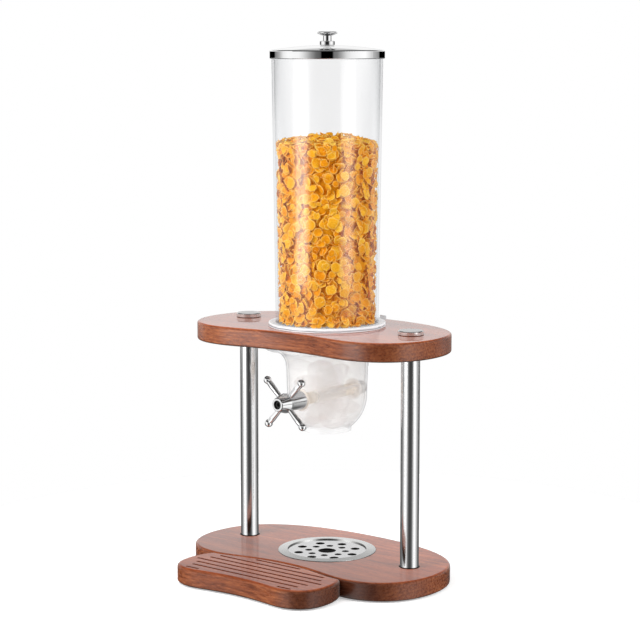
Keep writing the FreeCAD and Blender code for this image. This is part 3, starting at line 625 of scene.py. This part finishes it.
def makeClearPlastic(part):
    values = clearParts[part]
    material, paint = newMaterial(
        "clear_" + part + "_finish", Base_Color=clearPlastic["milk"], Roughness=clearPlastic["milkRoughness"],
        Emission_Color=grey(1), Emission_Strength=clearPlastic["paintedGlow"])
    towardsEdge = paint.span(paint.facing(), values["edgeFrom"], 1.0)
    body = paint.blendShaders(towardsEdge, paint.clear(values["clear"]), paint.clear(values["edge"]))
    if values["haze"]:
        scale, low, high, thinnest = clearPlastic["veil"]
        veil = paint.noise(paint.place(), scale)
        haze = paint.span(veil, low, high, values["haze"] * thinnest, values["haze"])
        haze = paintBaseRing(paint, haze) if part == "base" else paintGateKnob(paint, haze)
        body = paint.blendShaders(haze, body, paint.main())
    paint.finish(paint.glazed(body, values["sheen"], values["shine"], clearPlastic["gloss"]))
    return material


bell = {
    "milk": (0.95, 0.95, 0.955),
    "milkRoughness": 0.35,
    "milkGlint": 0.3,
    # painted glow, though the bell is no lamp
    "paintedGlow": 0.30,
    "clear": (0.98, 0.98, 0.98),
    "edge": (0.60, 0.61, 0.64),       # what comes through right at the outline
    "edgeFrom": (0.78, 0.97),
    "body": 0.17,            # share of milk seen face on
    "rim": 0.30,             # and towards the outline
    "clouds": (45, 0.02),    # noise to the metre, and what it changes
    "sheen": 0.4,
    "shine": 0.03,
    "gloss": 0.10,
}


def makeBellFinish():
    material, paint = newMaterial(
        "frosted_bell_finish", Base_Color=bell["milk"], Roughness=bell["milkRoughness"],
        Specular_IOR_Level=bell["milkGlint"], Emission_Color=bell["milk"], Emission_Strength=bell["paintedGlow"])
    facing = paint.facing()
    towardsEdge = paint.span(facing, *bell["edgeFrom"])
    clear = paint.blendShaders(towardsEdge, paint.clear(bell["clear"]), paint.clear(bell["edge"]))
    scale, share = bell["clouds"]
    cloud = (paint.noise(paint.place(), scale, 2.0) - 0.5) * share
    milk = facing ** 3 * (bell["rim"] - bell["body"]) + bell["body"] + cloud
    body = paint.blendShaders(milk, clear, paint.main())
    paint.finish(paint.glazed(body, bell["sheen"], bell["shine"], bell["gloss"]))
    return material


milky = {                    # thin plastic that light comes through
    "kinds": {               # dark and light tint, share of milk
        "inner_plastic": ((0.90, 0.89, 0.88), (0.94, 0.93, 0.92), 0.05),
        "paddle_silicone": ((0.78, 0.71, 0.69), (0.82, 0.76, 0.74), 0.14),
        "core_plastic": ((0.93, 0.85, 0.72), (0.95, 0.88, 0.78), 0.30),
        "cream_silicone": ((0.88, 0.80, 0.72), (0.92, 0.85, 0.78), 0.60),
    },
    "clear": (0.985, 0.98, 0.975),
    "rim": 0.35,             # how much milkier it is towards its outline
    "clouds": (120, 0.03),   # noise to the metre, and what it changes
    # painted glow, though these parts are no lamp
    "paintedGlow": 0.15,
    "roughness": 0.5,
    "glint": 0.3,
}


def makeMilky(kind):
    dark, light, share = milky["kinds"][kind]
    material, paint = newMaterial(
        kind + "_finish", Specular_IOR_Level=milky["glint"], Roughness=milky["roughness"],
        Emission_Color=light, Emission_Strength=milky["paintedGlow"])
    scale, change = milky["clouds"]
    cloud = paint.noise(paint.place(), scale)
    paint.set(Base_Color=paint.mix(cloud, dark, light))
    amount = paint.facing() ** 3 * milky["rim"] + share + (cloud - 0.5) * change
    paint.finish(paint.blendShaders(amount, paint.clear(milky["clear"]), paint.main()))
    return material


moulded = {
    "kinds": {               # dark and light tint, roughness
        # near black: the screw's own dark finish, and painted shade for the hub's recess around it
        "dark_screw": ((0.010, 0.010, 0.010), (0.022, 0.022, 0.022), 0.4),
        "foot_rubber": ((0.018, 0.018, 0.018), (0.035, 0.035, 0.034), 0.6),
        "bush_plastic": ((0.90, 0.76, 0.58), (0.93, 0.80, 0.64), 0.45),
    },
    "uneven": 0.05,          # how far the roughness goes up and down
    "grain": 320,
    "relief": (0.05, 0.1 * mm),
    "glint": 0.4,
}


def makeMoulded(kind):
    dark, light, roughness = moulded["kinds"][kind]
    uneven = moulded["uneven"]
    material, paint = newMaterial(kind + "_finish", Specular_IOR_Level=moulded["glint"])
    skin = paint.noise(paint.place(), moulded["grain"], 3.0)
    paint.set(
        Base_Color=paint.mix(skin, dark, light), Normal=paint.bump(skin, *moulded["relief"]),
        Roughness=paint.span(skin, *mostNoise, roughness - uneven, roughness + uneven))
    return material


# corn flakes: laid one behind another against the wall, down from the crown and up from the gate
flake = {
    "seed": 20,
    "count": {"wall": 12000, "crown": 1500, "under": 420},
    "radius": (4.2 * mm, 8.4 * mm),
    "thickness": 0.7 * mm,
    "rimSteps": 12,
    "rings": [               # share of its radius, of its thickness
        (0.5, 0.5), (0.92, 0.42), (1.0, 0.0), (0.92, -0.42), (0.5, -0.5),
    ],
    "rimShade": [0.0, 0.75, 1.0, 0.75, 0.0],
    "waves": (6, 0.10),      # in its outline: how many, and how deep
    "curls": [               # share of all flakes up to here, and the range that they have
        (0.58, (0.02, 0.11)), (0.88, (0.16, 0.40)), (1.0, (0.5, 0.8)),
    ],
    "leans": [               # the same, degrees from flat
        (0.5, (0, 14)), (0.82, (14, 40)), (1.0, (40, 72)),
    ],
    "dish": (-0.08, 0.16),
    "ripple": (0.03, 0.14),
    "lobes": (2, 3, 3, 4),
    "narrowing": 0.25,       # of a curled one across its curl
    "wallGap": 0.3 * mm,
    "stack": 0.85 * mm,      # from one flake's middle to that of the next behind it
    "steepest": 1.8,         # and the most that a lean multiplies that
    "rests": 8,              # directions in which it rests on others
    "probe": 0.9,            # share of the radius at which it does
    "overlap": 0.72,         # share that stays clear of them: brittle rims may lie a little into each other
    "deepest": 9.5 * mm,     # a flake further in than this isn't seen
    "gateGap": 0.1 * mm,
    "wallEnds": (4 * mm, 3 * mm),     # how far from the gate and from the crown's edge the wall's flakes keep
    "crownEnd": 5 * mm,               # and from the wall the others
    "edgeDrop": 12 * mm,     # from the crown's top to its edge
    "heap": 3.2 * mm,        # its bumps, up and down
    "heapScale": 85,
    "heapOver": 0.5,         # share of a bump that a flake may stand out over it
    "crownPaintedLight": 0.35,       # painted light: how much paler the crown's flakes are made, to brighten them under the lid
}


def fillShape():
    low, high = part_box("flake_fill")
    centre = Vector((0, axisY, 0))
    points = [v.co - centre for v in nodes["flake_fill"].data.vertices]
    return {
        "low": low.z,
        "edge": high.z - flake["edgeDrop"],
        "high": high.z,
        "bottomRadius": max(math.hypot(p.x, p.y) for p in points if p.z < low.z + mm),
        "topRadius": (high.x - low.x) / 2,
    }


def wallRadius(shape, z):
    share = (z - shape["low"]) / (shape["edge"] - shape["low"])
    return shape["bottomRadius"] + (shape["topRadius"] - shape["bottomRadius"]) * min(max(share, 0), 1)


def crownHeight(shape, x, y):
    scale = flake["heapScale"]
    out = math.hypot(x, y)
    bump = noise.noise(Vector((x * scale, y * scale, 0.5))) * flake["heap"]
    return shape["high"] - flake["edgeDrop"] * min(out / shape["topRadius"], 1) ** 2 + bump


def pickRange(dice, kinds):
    share = dice.random()
    return dice.uniform(*next(limits for upTo, limits in kinds if share < upTo))


def flakeOutline(dice, radius):
    count, depth = flake["waves"]
    waves = [(k, dice.uniform(0, fullTurn), dice.gauss(0, depth) / k ** 0.5) for k in range(1, count + 1)]
    return lambda angle: radius * (1 + sum(a * math.cos(k * angle + p) for k, p, a in waves))


def shapeFlake(dice, radius):
    outline = flakeOutline(dice, radius)
    axis = dice.uniform(0, math.pi)
    curl = pickRange(dice, flake["curls"]) * dice.choice((-1, 1))
    dish = dice.uniform(*flake["dish"])
    ripple = dice.uniform(*flake["ripple"])
    lobes = dice.choice(flake["lobes"])
    phase = dice.uniform(0, fullTurn)
    narrower = 1 - flake["narrowing"] * abs(curl)

    def point(angle, share, side):
        out = outline(angle) * share
        x = out * math.cos(angle)
        y = out * math.sin(angle)
        across = x * math.cos(axis) + y * math.sin(axis)
        pull = across * (narrower - 1)
        reach = out / radius
        lift = dish * reach ** 2 + curl * (across / radius) ** 2
        lift = lift + ripple * reach ** 3 * math.sin(lobes * angle + phase)
        lift = lift * radius + side * flake["thickness"]
        return Vector((x + pull * math.cos(axis), y + pull * math.sin(axis), lift))

    steps = flake["rimSteps"]
    points = [point(0, 0, 0.5)]
    for share, side in flake["rings"]:
        points += [point(fullTurn * k / steps, share, side) for k in range(steps)]
    points.append(point(0, 0, -0.5))
    return points


def flakeFaces(first):                               # first: the number of its first point
    steps = flake["rimSteps"]
    rings = len(flake["rings"])
    last = first + 1 + rings * steps
    faces = []
    for k in range(steps):
        after = (k + 1) % steps
        faces.append((first, first + 1 + k, first + 1 + after))
        for ring in range(rings - 1):
            upper = first + 1 + ring * steps
            lower = upper + steps
            faces.append((upper + k, lower + k, lower + after, upper + after))
        faces.append((last, last - steps + after, last - steps + k))
    return faces


def layFlakes(dice, count, pick, around=None):       # around: the chart's length where it closes on itself
    cell = 2 * flake["radius"][1]
    columns = max(int(around / cell), 1) if around else None
    width = around / columns if around else cell
    grid = {}
    laid = []

    def offset(s, other):
        step = s - other
        return (step + around / 2) % around - around / 2 if around else step

    def needed(s, t, near):                          # how far in a flake has to be there, behind those laid
        deepest = 0.0
        for otherS, otherT, depth, slopeS, slopeT, size in near:
            ds = offset(s, otherS)
            dt = t - otherT
            slope = slopeS * ds + slopeT * dt
            if ds * ds + dt * dt + slope * slope < size ** 2:
                steepness = min(math.sqrt(1 + slopeS ** 2 + slopeT ** 2), flake["steepest"])
                deepest = max(deepest, depth + slope + flake["stack"] * steepness)
        return deepest

    rests = flake["rests"]
    directions = [(math.cos(fullTurn * k / rests), math.sin(fullTurn * k / rests)) for k in range(rests)]
    for _ in range(count):
        size = dice.uniform(*flake["radius"])
        s, t = pick()
        column, row = int(s // width), int(t // cell)
        near = []
        for i in (-1, 0, 1):
            for j in (-1, 0, 1):
                key = ((column + i) % columns if columns else column + i, row + j)
                near += grid.get(key, [])
        probe = size * flake["probe"]
        needs = [needed(s + u * probe, t + v * probe, near) for u, v in directions]
        lean = math.tan(math.radians(pickRange(dice, flake["leans"])))
        turn = dice.uniform(0, fullTurn)
        slopeS = sum(n * u for n, (u, v) in zip(needs, directions)) / (rests / 2 * size)
        slopeT = sum(n * v for n, (u, v) in zip(needs, directions)) / (rests / 2 * size)
        slopeS += lean * math.cos(turn)
        slopeT += lean * math.sin(turn)
        depth = needed(s, t, near)
        for u, v in directions:
            rise = slopeS * u + slopeT * v
            reach = size * flake["overlap"] / math.sqrt(1 + rise * rise)
            depth = max(depth, needed(s + u * reach, t + v * reach, near) - rise * reach)
        if depth < flake["deepest"]:
            made = (s, t, depth, slopeS, slopeT, size)
            laid.append(made)
            grid.setdefault((column % columns if columns else column, row), []).append(made)
    return laid


def keepInside(points, shape):                       # moves a flake in from the wall, the crown and the gate
    for _ in range(2):
        centre = sum(points, Vector()) / len(points)
        inward = Vector((-centre.x, -centre.y, 0)).normalized()
        over = max(math.hypot(p.x, p.y) - wallRadius(shape, p.z) + flake["wallGap"] for p in points)
        if over > 0:
            points = [p + inward * over for p in points]
    room = flake["heap"] * flake["heapOver"]
    high = max(p.z - crownHeight(shape, p.x, p.y) - room for p in points)
    low = shape["low"] + flake["gateGap"] - min(p.z for p in points)
    shift = -high if high > 0 else low if low > 0 else 0
    return [p + Vector((0, 0, shift)) for p in points]


def addFill(name, vertices, faces, material, **attributes):    # a part of the fill, which rides in the hopper
    mesh = bpy.data.meshes.new(name)
    mesh.from_pydata(vertices, [], faces)
    mesh.shade_smooth()
    for attribute, values in attributes.items():
        mesh.attributes.new(attribute, "FLOAT", "POINT").data.foreach_set("value", values)
    mesh.materials.append(material)
    piece = bpy.data.objects.new(name, mesh)
    bpy.context.scene.collection.objects.link(piece)
    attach(piece, "hopper")
    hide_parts("flake_fill")
    piece.visible_glossy = False


def buildFlakes(name, dice, laid, locate, shape, material, pale=0.0):
    vertices, faces, toast, rim = [], [], [], []
    steps = flake["rimSteps"]
    shades = [0.0] + [shade for shade in flake["rimShade"] for _ in range(steps)] + [0.0]
    for s, t, depth, slopeS, slopeT, size in laid:
        origin, along, up, out, slopes = locate(s, t, depth)
        normal = (along * (slopeS + slopes[0]) + up * (slopeT + slopes[1]) + out).normalized()
        first = (along - normal * along.dot(normal)).normalized()
        second = normal.cross(first)
        points = [origin + first * p.x + second * p.y + normal * p.z for p in shapeFlake(dice, size)]
        points = keepInside(points, shape)
        faces += flakeFaces(len(vertices))
        vertices += [p + Vector((0, axisY, 0)) for p in points]
        # the toast tone, plus any painted light
        toast += [dice.random() + pale] * len(points)
        rim += shades
    addFill(name, vertices, faces, material, toast=toast, rim=rim)


flakeLook = {
    "face": [                # from well toasted to pale
        (0.0, (0.52, 0.125, 0.002)), (0.35, (0.73, 0.26, 0.004)), (0.7, (0.82, 0.425, 0.022)),
        (1.0, (0.86, 0.59, 0.12)),
    ],
    "toastShare": 0.5,       # of the flake's own tone, and then what its skin adds
    "blister": (420, 3.0, 0.6),
    "blisterShare": 0.9,
    "crackle": (1100, 2.0, 0.6),
    "crackleShare": 0.4,
    "darker": 0.40,
    "rim": (0.88, 0.64, 0.20),
    "rimFrom": (0.45, 1.0, 0.0, 0.75),
    "glow": (0.95, 0.36, 0.03),       # painted glow that lightens the flakes' shade, though they are no lamp
    "paintedGlowStrength": 0.09,
    "glint": 0.10,
    "roughness": (0.42, 0.62),
    "relief": (0.55, 0.6 * mm),
}


def makeFlakeFinish():
    material, paint = newMaterial(
        "flake_finish", Specular_IOR_Level=flakeLook["glint"], Emission_Color=flakeLook["glow"],
        Emission_Strength=flakeLook["paintedGlowStrength"])
    toast = paint.node("Attribute", {"attribute_name": "toast"}, output="Fac")
    rim = paint.node("Attribute", {"attribute_name": "rim"}, output="Fac")
    blister = paint.noise(paint.place(), *flakeLook["blister"])
    crackle = paint.noise(paint.place(), *flakeLook["crackle"])
    fine = crackle * flakeLook["crackleShare"]
    figure = toast * flakeLook["toastShare"] + blister * flakeLook["blisterShare"] + fine
    tone = paint.ramp(figure - flakeLook["darker"], flakeLook["face"])
    paint.set(
        Base_Color=paint.mix(paint.span(rim, *flakeLook["rimFrom"]), tone, flakeLook["rim"]),
        Roughness=paint.span(blister, *mostNoise, *flakeLook["roughness"]),
        Normal=paint.bump(blister + fine, *flakeLook["relief"]))
    return material


core = {                     # the flakes too far in to be seen, as one lumpy body
    "inset": flake["deepest"] - 2 * mm,         # in from the wall and down from the crown
    "rings": 56,
    "crownRings": 9,
    "steps": 72,
    "lump": 2.6 * mm,
    "lumpScale": 95,
    "tint": ((0.56, 0.17, 0.002), (0.86, 0.38, 0.012)),
    "tintScale": 120,
    "roughness": 0.8,
    "glint": 0.1,
}


def makeCoreFinish():
    material, paint = newMaterial(
        "flake_depth_finish", Specular_IOR_Level=core["glint"], Roughness=core["roughness"])
    lumps = paint.noise(paint.place(), core["tintScale"])
    paint.set(Base_Color=paint.mix(lumps, *core["tint"]))
    return material


def buildCore(shape, material):
    rings, steps, inset = core["rings"], core["steps"], core["inset"]
    bottom = shape["low"] + inset * 0.5
    height = shape["edge"] - shape["low"] - inset * 1.5
    profile = [(0.0, bottom)]                        # out from the axis, and up
    for k in range(rings):
        z = bottom + height * k / (rings - 1)
        profile.append((wallRadius(shape, z) - inset, z))
    for k in range(1, core["crownRings"]):
        out = (shape["topRadius"] - inset) * (1 - k / core["crownRings"])
        profile.append((out, shape["high"] - flake["edgeDrop"] * (out / shape["topRadius"]) ** 2 - inset))
    axis = Vector((0, axisY, 0))
    vertices, faces = [], []
    for out, z in profile:
        for k in range(steps):
            turn = fullTurn * k / steps
            place = Vector((math.cos(turn) * out, math.sin(turn) * out, z))
            lump = noise.noise(place * core["lumpScale"]) * core["lump"] * (out > 0)
            vertices.append(place + Vector((math.cos(turn), math.sin(turn), 0)) * lump + axis)
    for ring in range(len(profile) - 1):
        lower = ring * steps
        upper = lower + steps
        for k in range(steps):
            after = (k + 1) % steps
            faces.append((lower + k, lower + after, upper + after, upper + k))
    faces.append(tuple(reversed(range(steps))))
    faces.append(tuple((len(profile) - 1) * steps + k for k in range(steps)))
    addFill("flake_core", vertices, faces, material)


def fillHopper():
    dice = random.Random(flake["seed"])
    shape = fillShape()
    finish = makeFlakeFinish()
    meanRadius = (shape["bottomRadius"] + shape["topRadius"]) / 2
    around = fullTurn * meanRadius
    flat = Vector((1, 0, 0)), Vector((0, 1, 0)), Vector((0, 0, 1))

    def wallPick():
        above, below = flake["wallEnds"]
        return dice.uniform(0, around), dice.uniform(shape["low"] + above, shape["edge"] - below)

    def discPick():
        turn = dice.uniform(0, fullTurn)
        out = (shape["topRadius"] - flake["crownEnd"]) * math.sqrt(dice.random())
        return out * math.cos(turn), out * math.sin(turn)

    def onWall(s, t, depth):
        turn = s / meanRadius
        out = Vector((math.cos(turn), math.sin(turn), 0))
        along = Vector((-math.sin(turn), math.cos(turn), 0))
        origin = out * (wallRadius(shape, t) - depth - flake["thickness"]) + flat[2] * t
        return origin, along, flat[2], out, (0, 0)

    def onCrown(s, t, depth):
        fall = 2 * flake["edgeDrop"] / shape["topRadius"] ** 2
        z = crownHeight(shape, s, t) - depth - flake["thickness"]
        return Vector((s, t, z)), flat[0], flat[1], flat[2], (fall * s, fall * t)

    def onGate(s, t, depth):
        z = shape["low"] + depth + flake["thickness"]
        return Vector((s, t, z)), flat[0], -flat[1], -flat[2], (0, 0)

    wall = layFlakes(dice, flake["count"]["wall"], wallPick, around)
    third = (shape["edge"] - shape["low"]) / 3
    for k, name in enumerate(("flakes_low", "flakes_middle", "flakes_high")):
        bottom = shape["low"] + third * k
        band = [laid for laid in wall if bottom <= laid[1] < bottom + third]
        buildFlakes(name, dice, band, onWall, shape, finish)
    crown = layFlakes(dice, flake["count"]["crown"], discPick)
    buildFlakes("flakes_crown", dice, crown, onCrown, shape, finish, flake["crownPaintedLight"])
    under = layFlakes(dice, flake["count"]["under"], discPick)
    buildFlakes("flakes_under", dice, under, onGate, shape, finish)
    buildCore(shape, makeCoreFinish())
    print("flakes laid:", len(wall), "at the wall,", len(crown), "on the crown,", len(under), "over the gate")


# finishes of the CAD pieces
unmirroredBelow = 3 * mm     # over the base board: the posts don't mirror what lies in it


def makeFinishes():          # by the piece's name, or else by the slot that it has in the frame
    boardFinishes = {board: makeBoardFinish(board) for board in boards}
    return {
        **boardFinishes,
        "post_steel": makeMetal("post_steel"),
        "cap_steel": makeMetal("cap_steel"),
        "tray_steel": makeTraySteel(),
        "hidden_steel": makeMetal("zinc_steel"),
        "mirror_chrome": makeMetal("mirror_chrome"),
        "escutcheon": makeMetal("satin_chrome"),
        "handle_screw": makeMoulded("dark_screw"),
        "hopper_tube": makeClearPlastic("tube"),
        "hopper_base": makeClearPlastic("base"),
        "gate_plastic": makeClearPlastic("gate"),
        "frosted_bell": makeBellFinish(),
        "foot_rubber": makeMoulded("foot_rubber"),
        "inner_plastic": makeMilky("inner_plastic"),
        "paddle_wheel": makeMilky("paddle_silicone"),
        "wheel_core": makeMilky("core_plastic"),
        "cream_silicone": makeMilky("cream_silicone"),
        "bush_plastic": makeMoulded("bush_plastic"),
    }


def dressNodes():
    finishes = makeFinishes()
    low = topOf("base_board") + unmirroredBelow
    for name, node in nodes.items():
        if name == "flake_fill":
            continue
        for held in node.material_slots:
            slotName = held.material.name.split(".")[0]
            held.material = finishes.get(name) or finishes[slotName]
        node.visible_glossy = name == "shelf_board" or topOf(name) > low
    print("finishes given to", len(nodes) - 1, "pieces")


makeCamera()
makeStudio()
makeLamps()
makeTable()
print("studio ready")
fillHopper()
dressNodes()
bpy.context.scene.view_settings.view_transform = "Standard"
bpy.context.scene.cycles.transparent_max_bounces = 24      # a look through the bell crosses many thin walls
